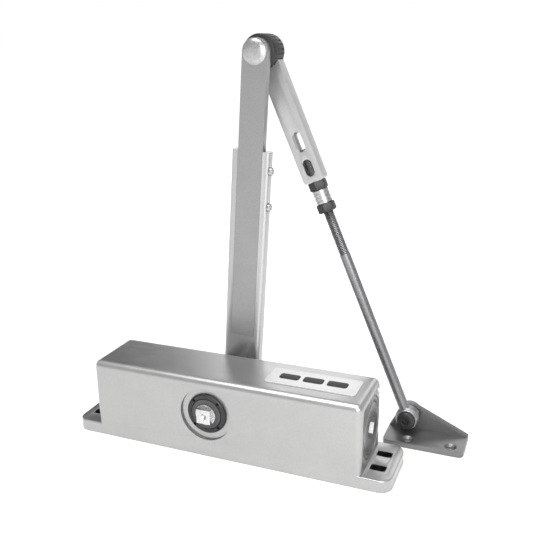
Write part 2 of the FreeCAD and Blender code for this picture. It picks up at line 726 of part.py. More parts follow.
def pinion_shaft():
    gear = doc.addObject("Part::Feature", "pinion_gear")
    gear.Shape = Part.Face(pinion_wire()).extrude(FreeCAD.Vector(0, size("gear_width"), 0))
    across = ("spindle_place", "bore_height")
    front_face = "-(%s)" % SIDE
    journal = rod("journal", "Y", "journal_radius", front_face, ARM_FRONT, across)
    ends = []
    square_end = "(%s - square_sink)" % ARM_BACK
    for name, low, high in (("front_square", front_face + " - square_proud", front_face + " + 1"),
                            ("rear_square", ARM_FRONT + " - 1", square_end)):
        ends.append(box(name, *square_about(low, high)))
    hole = rod("arm_screw_hole", "Y", "arm_screw_radius", square_end + " - arm_screw_reach",
               ARM_BACK + " + 1", across)
    dimple = cone("front_dimple", "Y", "dimple_radius", "dimple_radius / 6",
                  front_face + " - square_proud",
                  front_face + " - square_proud + dimple_depth", across)
    node(cut("pinion_shaft", fuse("pinion_solid", gear, journal, *ends), hole, dimple))
    node(ring("spindle_spacer", "Y", "journal_radius + spacer_wall", "journal_radius",
              "%s + spacer_gap" % SIDE, ARM_FRONT, across))


def along_arm(obj):
    """Lay a piece drawn along X from the spindle out along the arm."""
    obj.Placement.Rotation = FreeCAD.Rotation(FreeCAD.Vector(0, 1, 0), 1)
    tie(obj, "Placement.Rotation.Angle", "arm_lean - 90")
    return place(obj, "spindle_place", "0", "bore_height")


def along_forearm(obj):
    """Lay a piece drawn along X from the elbow down along the forearm."""
    obj.Placement.Rotation = FreeCAD.Rotation(FreeCAD.Vector(0, 1, 0), 1)
    tie(obj, "Placement.Rotation.Angle", "90 deg - " + FOREARM_LEAN)
    return place(obj, ELBOW_X, "0", ELBOW_Z)


def lower_arm():
    """Channel with a round hub and a square hole for the spindle."""
    wide = ("-channel_width / 2", "channel_width / 2")
    channel = box("channel_block", ("0", "channel_end"), (ARM_FRONT, ARM_BACK), wide)
    hub = rod("arm_hub", "Y", "arm_hub_radius", ARM_FRONT, ARM_BACK)
    narrow = ("-(bar_width / 2 + bar_gap)", "bar_width / 2 + bar_gap")
    trough = box("channel_trough", ("bar_start - bar_gap", "channel_end + 1"),
                 (ARM_FRONT + " - 1", CHANNEL_FLOOR), narrow)
    return channel, hub, trough


def main_arm():
    channel, hub, trough = lower_arm()
    holes = []
    for where in ("grip_near", "grip_far"):
        holes.append(rod(where + "_hole", "Z", "grip_radius", "-channel_width / 2 - 1",
                         "-bar_width / 2", (where, ARM_FRONT + " + grip_place")))
    blank = along_arm(cut("main_arm_blank", fuse("main_arm_solid", channel, hub), trough, *holes))
    square = box("arm_square_hole", *square_about(ARM_FRONT + " - 1", ARM_BACK + " + 1"))
    node(cut("main_arm_channel", blank, square))
    bar = box("bar_block", ("bar_start", "arm_length"), (ARM_FRONT, CHANNEL_FLOOR),
              ("-bar_width / 2", "bar_width / 2"))
    end = rod("bar_end", "Y", "bar_width / 2", ARM_FRONT, CHANNEL_FLOOR, ("arm_length", "0"))
    hole = rod("bar_hole", "Y", "rivet_radius + fit_gap", ARM_FRONT + " - 1",
               CHANNEL_FLOOR + " + 1", ("arm_length", "0"))
    node(along_arm(cut("main_arm_bar", fuse("bar_solid", bar, end), hole)))
    screws = []
    for where in ("grip_near", "grip_far"):
        across = (where, ARM_FRONT + " + grip_place")
        shank = rod(where + "_shank", "Z", "grip_radius", "-channel_width / 2",
                    "-bar_width / 2", across)
        head = rod(where + "_head", "Z", "2 * grip_radius", "-channel_width / 2 - grip_head",
                   "-channel_width / 2", across)
        screws.append(fuse(where + "_screw", shank, head))
    group = doc.addObject("Part::Compound", "arm_set_screws")
    group.Links = screws
    node(along_arm(group))
    across = ("spindle_place", "bore_height")
    washer_back = "%s + washer_thickness" % ARM_BACK
    node(ring("arm_washer", "Y", "washer_radius", "arm_screw_radius", ARM_BACK, washer_back,
              across))
    shank = rod("arm_screw_shank", "Y", "arm_screw_radius",
                ARM_BACK + " + 1 - arm_screw_reach", washer_back, across)
    head = rod("arm_screw_cap", "Y", "arm_screw_head_radius", washer_back,
               washer_back + " + arm_screw_head", across)
    socket = hexagon("arm_screw_socket", "Y", "screw_key",
                     washer_back + " + arm_screw_head - screw_key_depth",
                     washer_back + " + arm_screw_head + 1", across)
    node(cut("arm_screw", fuse("arm_screw_solid", shank, head), socket))


def elbow():
    """Black cover, spacer, rivet and washer at the joint of the two arms."""
    across = (ELBOW_X, ELBOW_Z)
    head_front = "%s - rivet_head" % ARM_FRONT
    washer_front = "%s + elbow_play" % FOREARM_BACK
    washer_back = "%s + washer_thickness" % washer_front
    shank = rod("rivet_shank", "Y", "rivet_radius", ARM_FRONT, washer_back, across)
    front = rod("rivet_front", "Y", "rivet_head_radius", head_front, ARM_FRONT, across)
    back = rod("rivet_back", "Y", "rivet_head_radius", washer_back, washer_back + " + rivet_head",
               across)
    node(fuse("elbow_rivet", shank, front, back))
    node(ring("elbow_washer", "Y", "washer_radius", "rivet_radius", washer_front, washer_back,
              across))
    hole = "rivet_radius + fit_gap"
    node(ring("elbow_spacer", "Y", "eye_radius", hole, COVER_FRONT + " + cover_wall",
              FOREARM_FRONT, across))
    cup = rod("cover_cup", "Y", "cover_radius", COVER_FRONT, FOREARM_BACK)
    inside = rod("cover_inside", "Y", "eye_radius + bar_gap", COVER_FRONT + " + cover_wall",
                 FOREARM_BACK + " + 1")
    bore = rod("cover_bore", "Y", hole, COVER_FRONT + " - 1", COVER_FRONT + " + cover_wall + 1")
    mouth = box("cover_mouth", ("0", "cover_radius + 1"),
                (FOREARM_FRONT + " - bar_gap", FOREARM_BACK + " + 1"),
                ("-(forearm_width / 2 + bar_gap)", "forearm_width / 2 + bar_gap"))
    node(along_forearm(cut("elbow_cover", cup, inside, bore, mouth)))


# --------------------------------------------------------------- forearm group
def forearm():
    """Flat forearm with two windows and a bore that the rod slides in."""
    wide = ("-forearm_width / 2", "forearm_width / 2")
    bar = box("forearm_block", ("0", "forearm_end"), (FOREARM_FRONT, FOREARM_BACK), wide)
    eye = rod("forearm_eye", "Y", "eye_radius", FOREARM_FRONT, FOREARM_BACK)
    middle = (FOREARM_MIDDLE, "0")
    hole = rod("forearm_hole", "Y", "rivet_radius + fit_gap", FOREARM_FRONT + " - 1",
               FOREARM_BACK + " + 1")
    bore = rod("forearm_bore", "X", "rod_radius + fit_gap", "rod_start - rod_shorten - rod_room",
               "forearm_end + 1", middle)
    windows = []
    low, high = FOREARM_FRONT + " - 1", FOREARM_BACK + " + 1"
    for name in ("inner_window", "outer_window"):
        ends = (name + "_near", name + "_far")
        windows.append(box(name + "_middle", ends, (low, high),
                           ("-window_width / 2", "window_width / 2")))
        windows += [rod(end + "_end", "Y", "window_width / 2", low, high, (end, "0"))
                    for end in ends]
    node(along_forearm(cut("forearm", fuse("forearm_solid", bar, eye), hole, bore, *windows)))
    inner = "rod_radius + fit_gap"
    first = "(forearm_end + nut_length)"
    second = "(forearm_end + nut_length + sleeve_length)"
    third = "(forearm_end + 2 * nut_length + sleeve_length)"
    for name, low, high in (("upper_lock_nut", "forearm_end", first),
                            ("lower_lock_nut", second, third)):
        blank = hexagon(name + "_blank", "X", "nut_flats", low, high, middle)
        bore = rod(name + "_bore", "X", inner, low + " - 1", high + " + 1", middle)
        node(along_forearm(cut(name, blank, bore)))
    node(along_forearm(ring("clamp_sleeve", "X", "sleeve_radius", inner, first, second, middle)))


def forearm_rod():
    middle = (FOREARM_MIDDLE, "0")
    stem = rod("rod_stem", "X", "rod_radius", "rod_start", "forearm_length - 2", middle)
    low = "(%s - rod_eye_thickness / 2)" % FOREARM_MIDDLE
    high = "(%s + rod_eye_thickness / 2)" % FOREARM_MIDDLE
    eye = rod("rod_eye", "Y", "rod_eye_radius", low, high, ("forearm_length", "0"))
    hole = rod("rod_eye_hole", "Y", "pivot_radius + fit_gap", low + " - 1", high + " + 1",
               ("forearm_length", "0"))
    node(along_forearm(cut("forearm_rod", fuse("rod_solid", stem, eye), hole)))


# ------------------------------------------------------------------ shoe group
def shoe():
    """Base plate with a sloping lug, and the shoulder screw that carries the rod."""
    lug_front = "(%s + rod_eye_thickness / 2 + lug_gap)" % FOREARM_MIDDLE
    lug_back = "(%s + lug_thickness)" % lug_front
    base_front = "(%s - shoe_front)" % FOREARM_MIDDLE
    plate = box("shoe_plate", ("-shoe_left", "shoe_right"), (base_front, lug_back),
                ("0", "shoe_thickness"))
    body = doc.addObject("PartDesign::Body", "shoe_lug")
    outline = polygon_sketch(body, "lug_outline", "XZ_Plane", [
        ("-shoe_left", "0"), ("shoe_right", "0"), ("shoe_right", "shoe_thickness"),
        ("lug_top_half", "pivot_height + lug_top"), ("-lug_top_half", "pivot_height + lug_top"),
        ("-shoe_left", "shoe_thickness")])
    tie(outline, "AttachmentOffset.Base.z", "-" + lug_front)
    pad(body, outline, "lug_thickness", reverse=True)
    boss = rod("lug_boss", "Y", "lug_radius", lug_front, lug_back, ("0", "pivot_height"))
    thread = rod("lug_thread", "Y", "pivot_radius", lug_front + " - 1", lug_back + " + 1",
                 ("0", "pivot_height"))
    holes = []
    for i, sign in enumerate(("-", "+")):
        across = ("shoe_hole_place %s shoe_hole_pitch / 2" % sign,
                  base_front + " + shoe_hole_inset")
        holes.append(rod("shoe_hole_%d" % i, "Z", "shoe_hole_radius", "-1", "shoe_thickness + 1",
                         across))
        holes.append(cone("shoe_sink_%d" % i, "Z", "shoe_hole_radius", "2 * shoe_hole_radius",
                          "shoe_thickness - sink_depth", "shoe_thickness + 1", across))
    bracket = cut("shoe_bracket", fuse("shoe_solid", plate, body, boss), thread, *holes)
    node(place(bracket, SHOE_X, "0", "0"))
    across = ("0", "pivot_height")
    washer_front = "(%s - rod_eye_thickness / 2 - pivot_play - washer_thickness)" % FOREARM_MIDDLE
    shank = rod("pivot_shank", "Y", "pivot_radius", washer_front, lug_back, across)
    head = rod("pivot_cap", "Y", "pivot_head_radius", washer_front + " - pivot_head",
               washer_front, across)
    socket = hexagon("pivot_socket", "Y", "screw_key", washer_front + " - pivot_head - 1",
                     washer_front + " - pivot_head + pivot_key_depth", across)
    screw = cut("shoe_pivot_screw", fuse("pivot_solid", shank, head), socket)
    node(place(screw, SHOE_X, "0", "0"))
    washer = ring("shoe_washer", "Y", "pivot_radius + pivot_washer_wall", "pivot_radius",
                  washer_front, washer_front + " + washer_thickness", across)
    node(place(washer, SHOE_X, "0", "0"))


def write_parts():
    """Check every object and sub-part, then write one STEP file per sub-part."""
    doc.recompute()
    bad = [o.Name for o in doc.Objects if {"Invalid", "Error"} & set(o.State)]
    bad += [n.Label for n in NODES if n.Shape.isNull() or not n.Shape.isValid()]
    if bad:
        raise RuntimeError("failed: " + ", ".join(bad))
    os.makedirs("parts", exist_ok=True)
    for item in NODES:
        item.Shape.exportStep(os.path.join("parts", item.Label + ".step"))
    print(len(NODES), "parts written")


housing()
end_plug("left", -1)
end_plug("right", 1)
bearing_set("front", -1)
bearing_set("rear", 1)
for regulator in VALVES:
    valve(*regulator)
name_badge()
piston_group()
spring("outer_spring", OUTER_COIL, "outer_wire_radius", "outer_turns")
spring("inner_spring", INNER_COIL, "inner_wire_radius", "inner_turns")
spring_adjustment()
pinion_shaft()
main_arm()
elbow()
forearm()
forearm_rod()
shoe()
write_parts()
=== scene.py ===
import json
import math

import bpy
from mathutils import Matrix, Vector


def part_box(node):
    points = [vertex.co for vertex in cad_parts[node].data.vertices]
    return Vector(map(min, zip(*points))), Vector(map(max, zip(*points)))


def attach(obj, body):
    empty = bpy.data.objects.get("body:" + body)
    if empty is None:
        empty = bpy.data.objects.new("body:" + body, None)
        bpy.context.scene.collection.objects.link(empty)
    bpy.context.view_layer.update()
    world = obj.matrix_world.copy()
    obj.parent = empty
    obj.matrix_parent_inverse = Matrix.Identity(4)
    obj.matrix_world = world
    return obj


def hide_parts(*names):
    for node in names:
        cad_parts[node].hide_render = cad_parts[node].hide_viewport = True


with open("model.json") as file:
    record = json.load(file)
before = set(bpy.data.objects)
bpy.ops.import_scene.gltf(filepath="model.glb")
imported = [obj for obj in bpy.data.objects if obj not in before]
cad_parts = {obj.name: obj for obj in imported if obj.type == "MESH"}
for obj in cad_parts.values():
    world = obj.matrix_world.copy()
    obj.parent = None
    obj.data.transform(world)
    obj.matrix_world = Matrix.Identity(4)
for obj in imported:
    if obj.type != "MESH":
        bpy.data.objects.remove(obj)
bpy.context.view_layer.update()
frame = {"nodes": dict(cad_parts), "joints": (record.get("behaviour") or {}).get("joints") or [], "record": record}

MM = 0.001
HAIR = 1e-5                 # points nearer a face than this lie on it
TINY = 1e-6                 # points nearer each other than this are one
FIT = 0.05 * MM             # running clearance
RIVET_BORE = 5.05 * MM      # holes on the elbow rivet
ROD_RADIUS = 4 * MM
ROD_BORE = 4.05 * MM        # holes for the rod and for the pivots of its size
WASHER_EDGE = 0.3 * MM
NODES = frame["nodes"]
JOINT = {joint["name"]: joint for joint in frame["joints"]}
SPINDLE = Vector(JOINT["spindle_turn"]["pos_m"])
ELBOW = Vector(JOINT["elbow_hinge"]["pos_m"])
SHOE = Vector(JOINT["shoe_hinge"]["pos_m"])


# ---------------------------------------------------------------- bench tools
def clear():
    if bpy.context.mode != "OBJECT":
        bpy.ops.object.mode_set(mode="OBJECT")
    bpy.ops.object.select_all(action="DESELECT")


def only(obj):
    clear()
    obj.select_set(True)
    bpy.context.view_layer.objects.active = obj


def settle(obj, matrix=None):
    """Move a piece to its place and keep that place in its mesh."""
    if matrix is not None:
        obj.matrix_world = matrix @ obj.matrix_world
    only(obj)
    bpy.ops.object.transform_apply(location=True, rotation=True, scale=True)
    return obj


def block(name, low, high):
    """Rectangular start between two corners."""
    clear()
    low, high = Vector(low), Vector(high)
    bpy.ops.mesh.primitive_cube_add(size=1, location=(low + high) / 2)
    obj = bpy.context.object
    obj.name = name
    obj.scale = high - low
    return settle(obj)


def lathe(name, profile, sides=64, hollow=False):
    """Turned piece about X through (place, radius) pairs; hollow closes on its first ring."""
    clear()
    place, radius = profile[0]
    bpy.ops.mesh.primitive_circle_add(
        vertices=sides, radius=radius, fill_type="NOTHING" if hollow else "NGON",
        location=(place, 0, 0), rotation=(0, math.pi / 2, 0))
    obj = bpy.context.object
    obj.name = name
    settle(obj)
    steps = profile[1:] + profile[:1] if hollow else profile[1:]
    bpy.ops.object.mode_set(mode="EDIT")
    bpy.ops.mesh.select_mode(type="EDGE" if hollow else "FACE")
    bpy.ops.mesh.select_all(action="SELECT")
    for next_place, next_radius in steps:
        bpy.ops.mesh.extrude_region_move(
            TRANSFORM_OT_translate={"value": (next_place - place, 0, 0)})
        size = next_radius / radius
        bpy.ops.transform.resize(value=(1, size, size), center_override=(next_place, 0, 0))
        place, radius = next_place, next_radius
    bpy.ops.mesh.select_all(action="SELECT")
    bpy.ops.mesh.remove_doubles(threshold=TINY)
    bpy.ops.mesh.normals_make_consistent(inside=False)
    bpy.ops.object.mode_set(mode="OBJECT")
    return obj


def bevel_edges(obj, width, segments, wanted):
    """Round the edges whose two end points pass the test."""
    only(obj)
    bpy.ops.object.mode_set(mode="EDIT")
    bpy.ops.mesh.select_mode(type="EDGE")
    bpy.ops.mesh.select_all(action="DESELECT")
    bpy.ops.object.mode_set(mode="OBJECT")
    points = obj.data.vertices
    for edge in obj.data.edges:
        edge.select = wanted(*(points[i].co for i in edge.vertices))
    bpy.ops.object.mode_set(mode="EDIT")
    bpy.ops.mesh.bevel(offset=width, segments=segments, affect="EDGES")
    bpy.ops.object.mode_set(mode="OBJECT")
    return obj


def move_points(obj, shift, wanted):
    """Slide the points that pass the test."""
    only(obj)
    bpy.ops.object.mode_set(mode="EDIT")
    bpy.ops.mesh.select_mode(type="VERT")
    bpy.ops.mesh.select_all(action="DESELECT")
    bpy.ops.object.mode_set(mode="OBJECT")
    for point in obj.data.vertices:
        point.select = wanted(point.co)
    bpy.ops.object.mode_set(mode="EDIT")
    bpy.ops.transform.translate(value=shift)
    bpy.ops.object.mode_set(mode="OBJECT")
    return obj


def modify(obj, kind, **settings):
    only(obj)
    modifier = obj.modifiers.new(kind.title(), kind)
    for key, value in settings.items():
        setattr(modifier, key, value)
    bpy.ops.object.modifier_apply(modifier=modifier.name)
    return obj


def combine(operation, obj, *others):
    for other in others:
        modify(obj, "BOOLEAN", operation=operation, solver="EXACT", object=other)
        bpy.data.objects.remove(other)
    return obj


def carve(obj, *cutters):
    return combine("DIFFERENCE", obj, *cutters)


def weld(obj, *others):
    return combine("UNION", obj, *others)


def join(name, pieces):
    """Several loose pieces as one object."""
    clear()
    for piece in pieces:
        piece.select_set(True)
    bpy.context.view_layer.objects.active = pieces[0]
    bpy.ops.object.join()
    pieces[0].name = name
    return pieces[0]


def soften(obj, width, segments=2, angle=35):
    """Break the sharp edges and smooth the rest."""
    modify(obj, "BEVEL", width=width, segments=segments, limit_method="ANGLE",
           angle_limit=math.radians(angle), use_clamp_overlap=True)
    return smooth(obj, angle)


def smooth(obj, angle=35):
    only(obj)
    bpy.ops.object.shade_smooth_by_angle(angle=math.radians(angle))
    return obj


def across(x, z):
    """From a lathe's own axis to one along the spindle's direction."""
    return Matrix.Translation((x, 0, z)) @ Matrix.Rotation(math.pi / 2, 4, "Z")


def along(start, end):
    """From a lathe's own axis to the line between two joints, at its true width place."""
    run = end - start
    return Matrix.Translation((start.x, 0, start.z)) @ \
        Matrix.Rotation(math.atan2(-run.z, run.x), 4, "Y")


def hexagon(name, flats, low, high):
    """Six-sided bar about X."""
    clear()
    bpy.ops.mesh.primitive_cylinder_add(
        vertices=6, radius=flats / math.sqrt(3), depth=high - low,
        location=((low + high) / 2, 0, 0), rotation=(0, math.pi / 2, 0))
    obj = bpy.context.object
    obj.name = name
    return settle(obj)


def hex_nut(name, flats, low, high, bore):
    """Nut with its corners turned off at both ends, and a bore."""
    chamfer = 0.07 * flats
    reach = 0.565 * flats       # just inside the corners
    turned = lathe("turned", [(low, reach - chamfer), (low + 0.5 * chamfer, reach),
                              (high - 0.5 * chamfer, reach), (high, reach - chamfer)])
    nut = combine("INTERSECT", hexagon(name, flats, low, high), turned)
    carve(nut, lathe("bore", [(low - MM, bore), (high + MM, bore)]))
    return soften(nut, 0.15 * MM, 2, 25)


def ring(name, inner, outer, low, high, edge):
    """Washer or sleeve about X with its outer rims broken."""
    return smooth(lathe(name, [
        (low, inner), (low, outer - edge), (low + edge, outer), (high - edge, outer),
        (high, outer - edge), (high, inner)], hollow=True), 30)


def keep(obj, body, slot, *nodes):
    """Hand a finished piece to its body, its material slot and the nodes it stands for."""
    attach(obj, body)
    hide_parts(*nodes)
    obj.data.materials.clear()
    obj.data.materials.append(FINISH[slot])
    return obj


# ------------------------------------------------------------------ materials
def new_material(name):
    material = bpy.data.materials.new(name)
    material.use_nodes = True
    tree = material.node_tree
    return material, tree, tree.nodes["Principled BSDF"]


def add(tree, kind, **inputs):
    """Node with the given settings; names of sockets take spaces for underscores."""
    item = tree.nodes.new(kind)
    for key, value in inputs.items():
        item.inputs[key.replace("_", " ")].default_value = value
    return item


def coordinates(tree, stretch=(1, 1, 1)):
    """Object coordinates, stretched so that a grain runs one way."""
    source = tree.nodes.new("ShaderNodeTexCoord")
    mapping = tree.nodes.new("ShaderNodeMapping")
    mapping.inputs["Scale"].default_value = stretch
    tree.links.new(source.outputs["Object"], mapping.inputs["Vector"])
    return mapping.outputs["Vector"]


def noise(tree, vector, scale, detail=3, roughness=0.55):
    item = add(tree, "ShaderNodeTexNoise", Scale=scale, Detail=detail, Roughness=roughness)
    tree.links.new(vector, item.inputs["Vector"])
    return item.outputs["Fac"]


def ramp(tree, value, low, high, start=0.35, end=0.65):
    """Blend from low to high as the value goes from start to end; colours or numbers."""
    item = tree.nodes.new("ShaderNodeValToRGB")
    item.color_ramp.elements[0].position = start
    item.color_ramp.elements[1].position = end
    for element, shade in zip(item.color_ramp.elements, (low, high)):
        element.color = (*shade, 1) if isinstance(shade, tuple) else (shade, shade, shade, 1)
    tree.links.new(value, item.inputs["Fac"])
    return item.outputs["Color"]


def layered(tree, first, second, amount):
    """Second colour laid over the first by an amount from a texture."""
    item = tree.nodes.new("ShaderNodeMix")
    item.data_type = "RGBA"
    tree.links.new(amount, item.inputs["Factor"])
    tree.links.new(first, item.inputs["A"])
    tree.links.new(second, item.inputs["B"])
    return item.outputs["Result"]


def relief(tree, shader, heights):
    """Bumps from (height, distance) pairs, one over the other."""
    normal = None
    for height, distance in heights:
        bump = add(tree, "ShaderNodeBump", Strength=1.0, Distance=distance)
        tree.links.new(height, bump.inputs["Height"])
        if normal:
            tree.links.new(normal, bump.inputs["Normal"])
        normal = bump.outputs["Normal"]
    tree.links.new(normal, shader.inputs["Normal"])


def tone(colour, factor):
    return tuple(min(1.0, channel * factor) for channel in colour)


def silver_paint(name, colour, roughness, metal=0.85):
    """Sprayed silver paint: metal flake, orange peel and faint handling marks."""
    material, tree, shader = new_material(name)
    place = coordinates(tree)
    flake = noise(tree, place, 2600, 2, 0.6)
    cloud = noise(tree, place, 28, 4, 0.6)
    flakes = ramp(tree, flake, tone(colour, 0.9), tone(colour, 1.1), 0.35, 0.65)
    dull = ramp(tree, flake, tone(colour, 0.84), tone(colour, 1.0), 0.3, 0.7)
    marks = ramp(tree, cloud, 0.0, 0.6, 0.5, 0.75)
    tree.links.new(layered(tree, flakes, dull, marks), shader.inputs["Base Color"])
    worn = noise(tree, coordinates(tree, (1, 3, 0.6)), 60, 5, 0.65)
    tree.links.new(ramp(tree, worn, roughness - 0.02, roughness + 0.06), shader.inputs["Roughness"])
    shader.inputs["Metallic"].default_value = metal
    relief(tree, shader, [(noise(tree, place, 420, 1), 0.00002),
                          (noise(tree, place, 90, 2), 0.00004)])
    return material


def brushed_steel(name, colour, roughness, grain, depth=0.00002):
    """Plated steel with a drawn grain; grain stretches the texture along the work."""
    material, tree, shader = new_material(name)
    lines = noise(tree, coordinates(tree, grain), 900, 4, 0.7)
    cloud = noise(tree, coordinates(tree), 70, 4)
    bright = ramp(tree, lines, tone(colour, 0.86), tone(colour, 1.12))
    dull = ramp(tree, lines, tone(colour, 0.7), tone(colour, 0.95))
    tree.links.new(layered(tree, bright, dull, ramp(tree, cloud, 0.0, 0.7, 0.45, 0.7)),
                   shader.inputs["Base Color"])
    tree.links.new(ramp(tree, lines, roughness - 0.06, roughness + 0.1), shader.inputs["Roughness"])
    shader.inputs["Metallic"].default_value = 1.0
    relief(tree, shader, [(lines, depth)])
    return material


def moulded(name, colour, roughness, grain_scale, depth, metal=0.0):
    """Grained surface of one colour: plastic, rubber, black oxide or iron."""
    material, tree, shader = new_material(name)
    place = coordinates(tree)
    grain = noise(tree, place, grain_scale, 3, 0.6)
    dust = noise(tree, place, 45, 4, 0.6)
    tree.links.new(ramp(tree, dust, tone(colour, 0.8), tone(colour, 1.35)),
                   shader.inputs["Base Color"])
    tree.links.new(ramp(tree, grain, roughness - 0.06, roughness + 0.08),
                   shader.inputs["Roughness"])
    shader.inputs["Metallic"].default_value = metal
    relief(tree, shader, [(grain, depth)])
    return material


ROUND_X = (0.05, 1, 1)
ROUND_Y = (1, 0.05, 1)
FINISH = {
    "casting_paint": silver_paint("casting silver paint", (0.4, 0.4, 0.397), 0.3),
    "arm_paint": silver_paint("arm silver paint", (0.46, 0.46, 0.46), 0.36),
    "arm_bar_steel": silver_paint("arm bar grey paint", (0.31, 0.31, 0.31), 0.38),
    # painted shade: the shoe paint is darker overall so that its lug looks shaded
    "shoe_paint": silver_paint("shoe paint darkened for shade", (0.19, 0.19, 0.19), 0.4),
    "rod_steel": brushed_steel("dull drawn rod", (0.24, 0.24, 0.245), 0.36, ROUND_X),
    "shaft_steel": brushed_steel("ground shaft steel", (0.62, 0.62, 0.63), 0.22, (1, 6, 1)),
    "nut_steel": brushed_steel("bright zinc plate", (0.48, 0.48, 0.48), 0.33, ROUND_Y),
    "plug_steel": brushed_steel("zinc plate", (0.3, 0.3, 0.3), 0.36, (6, 1, 1)),
    "dark_steel": moulded("black oxide", (0.035, 0.035, 0.036), 0.42, 1500, 0.00001, 0.6),
    "bearing_steel": brushed_steel("polished bearing steel", (0.6, 0.6, 0.62), 0.18, ROUND_Y),
    "spring_steel": brushed_steel("oil tempered wire", (0.2, 0.2, 0.22), 0.3, (1, 1, 1)),
    "piston_iron": moulded("machined iron", (0.3, 0.3, 0.31), 0.4, 800, 0.00002, 1.0),
    "valve_brass": brushed_steel("turned brass", (0.75, 0.58, 0.3), 0.28, (6, 1, 1)),
    "seal_rubber": moulded("seal rubber", (0.05, 0.05, 0.05), 0.6, 700, 0.00003),
    "cover_plastic": moulded("black moulded plastic", (0.009, 0.009, 0.01), 0.55, 900, 0.00003),
    "badge_aluminium": silver_paint("satin badge", (0.55, 0.55, 0.55), 0.34, 0.3),
    "badge_enamel": moulded("badge enamel", (0.006, 0.006, 0.006), 0.55, 500, 0.00001),
}


def paint_shade_in_slots(material):
    """Painted shade: near-black colour on the walls of the four screw slots, standing in for the shade inside
    them.
    """
    tree = material.node_tree
    shader = tree.nodes["Principled BSDF"]
    unshaded_colour = shader.inputs["Base Color"].links[0].from_socket
    source = tree.nodes.new("ShaderNodeTexCoord")
    split = tree.nodes.new("ShaderNodeSeparateXYZ")
    tree.links.new(source.outputs["Object"], split.inputs["Vector"])
    masks = []
    margin = 0.1
    for axis, middle, reach in (
            ("X", BOLTS["spacing_x_mm"] / 2, BOLTS["slot_length_mm"] / 2 + margin),
            ("Y", BOLTS["spacing_y_mm"] / 2, BOLTS["hole_r_mm"] + margin)):
        size = tree.nodes.new("ShaderNodeMath")
        size.operation = "ABSOLUTE"
        near = tree.nodes.new("ShaderNodeMath")
        near.operation = "COMPARE"
        near.inputs[1].default_value = middle * MM
        near.inputs[2].default_value = reach * MM
        tree.links.new(split.outputs[axis], size.inputs[0])
        tree.links.new(size.outputs[0], near.inputs[0])
        masks.append(near.outputs[0])
    both = tree.nodes.new("ShaderNodeMath")
    both.operation = "MULTIPLY"
    tree.links.new(masks[0], both.inputs[0])
    tree.links.new(masks[1], both.inputs[1])
    # painted shade: near-black colour laid over the paint inside the slots
    painted_slot_shade = ramp(tree, noise(tree, source.outputs["Object"], 300), (0.02, 0.02, 0.02),
                 (0.05, 0.05, 0.05))
    tree.links.new(layered(tree, unshaded_colour, painted_slot_shade, both.outputs[0]), shader.inputs["Base Color"])


BOLTS = next(m["dims"] for m in frame["record"]["mounts"] if m["name"] == "door_screws")
# paint shade into the screw slots of the casting paint
paint_shade_in_slots(FINISH["casting_paint"])
for part in frame["record"]["subparts"]:
    mesh = NODES[part["node"]].data
    mesh.materials.clear()
    mesh.materials.append(FINISH[part["material_slot"]])


# ------------------------------------------------------------------ the body
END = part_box("right_end_plug")[1].x
CASTING_LOW, CASTING_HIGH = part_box("body_casting")
EAR_HEIGHT = 9 * MM
EDGE_ROUND = 5 * MM
EAR_ROUND = 9 * MM
EAR_EDGE = 0.8 * MM
RECESS_RADIUS = 20.5 * MM
RECESS_DEPTH = 3 * MM
RECESS_TAPER = 0.4 * MM


def upright(a, b):
    return abs(a.x - b.x) + abs(a.y - b.y) < HAIR


def slot_cutter(x, y):
    """Round-ended slot through an ear."""
    radius = BOLTS["hole_r_mm"] * MM
    run = BOLTS["slot_length_mm"] * MM / 2 - radius
    clear()
    bpy.ops.mesh.primitive_cylinder_add(vertices=48, radius=radius, depth=4 * EAR_HEIGHT,
                                        location=(x, y, EAR_HEIGHT / 2))
    cutter = settle(bpy.context.object)
    move_points(cutter, (run, 0, 0), lambda p: p.x > x + TINY)
    return move_points(cutter, (-run, 0, 0), lambda p: p.x < x - TINY)


def build_casting():
    top = CASTING_HIGH.z
    low_y, high_y = CASTING_LOW.y, CASTING_HIGH.y
    shell = block("casting_shell", (-END, low_y, 0), (END, high_y, top))
    bevel_edges(shell, EDGE_ROUND, 8, lambda a, b: upright(a, b) or min(a.z, b.z) > top - HAIR)
    ears = block("ears", (CASTING_LOW.x, low_y, 0), (CASTING_HIGH.x, high_y, EAR_HEIGHT))
    bevel_edges(ears, EAR_ROUND, 10, upright)
    bevel_edges(ears, EAR_EDGE, 3, lambda a, b: min(a.z, b.z) > EAR_HEIGHT - HAIR)
    weld(shell, ears)
    for sx in (-1, 1):
        for sy in (-1, 1):
            carve(shell, slot_cutter(sx * BOLTS["spacing_x_mm"] * MM / 2,
                                     sy * BOLTS["spacing_y_mm"] * MM / 2))
    centre = Matrix.Translation((0, 0, SPINDLE.z))
    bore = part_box("piston")[1].y + FIT
    plug_low, plug_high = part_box("right_end_plug")
    seat, seat_place = plug_high.y, plug_low.x
    carve(shell, settle(lathe("bore", [
        (-END - MM, seat), (-seat_place, seat), (-seat_place, bore), (seat_place, bore),
        (seat_place, seat), (END + MM, seat)], 96), centre))
    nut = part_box("front_bearing_nut")
    nut_radius = (nut[1].x - nut[0].x) / 2
    floor, inner = high_y - RECESS_DEPTH, RECESS_RADIUS - RECESS_TAPER
    carve(shell, settle(lathe("cross_bore", [
        (-high_y - MM, RECESS_RADIUS), (-floor, inner), (-floor, nut_radius),
        (floor, nut_radius), (floor, inner), (high_y + MM, RECESS_RADIUS)], 96),
        across(SPINDLE.x, SPINDLE.z)))
    for kind in ("sweep", "latch", "backcheck"):
        low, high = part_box(kind + "_valve")
        middle = (low + high) / 2
        radius = (high.y - low.y) / 2 + FIT
        out = math.copysign(1, middle.x)
        inner = low.x if out > 0 else high.x
        ends = sorted((inner - out * MM, out * (END + MM)))
        carve(shell, settle(lathe("valve_hole", [(ends[0], radius), (ends[1], radius)], 32),
                            Matrix.Translation((0, middle.y, middle.z))))
    soften(shell, 0.35 * MM, 2, 38)
    keep(shell, "body", "casting_paint", "body_casting")


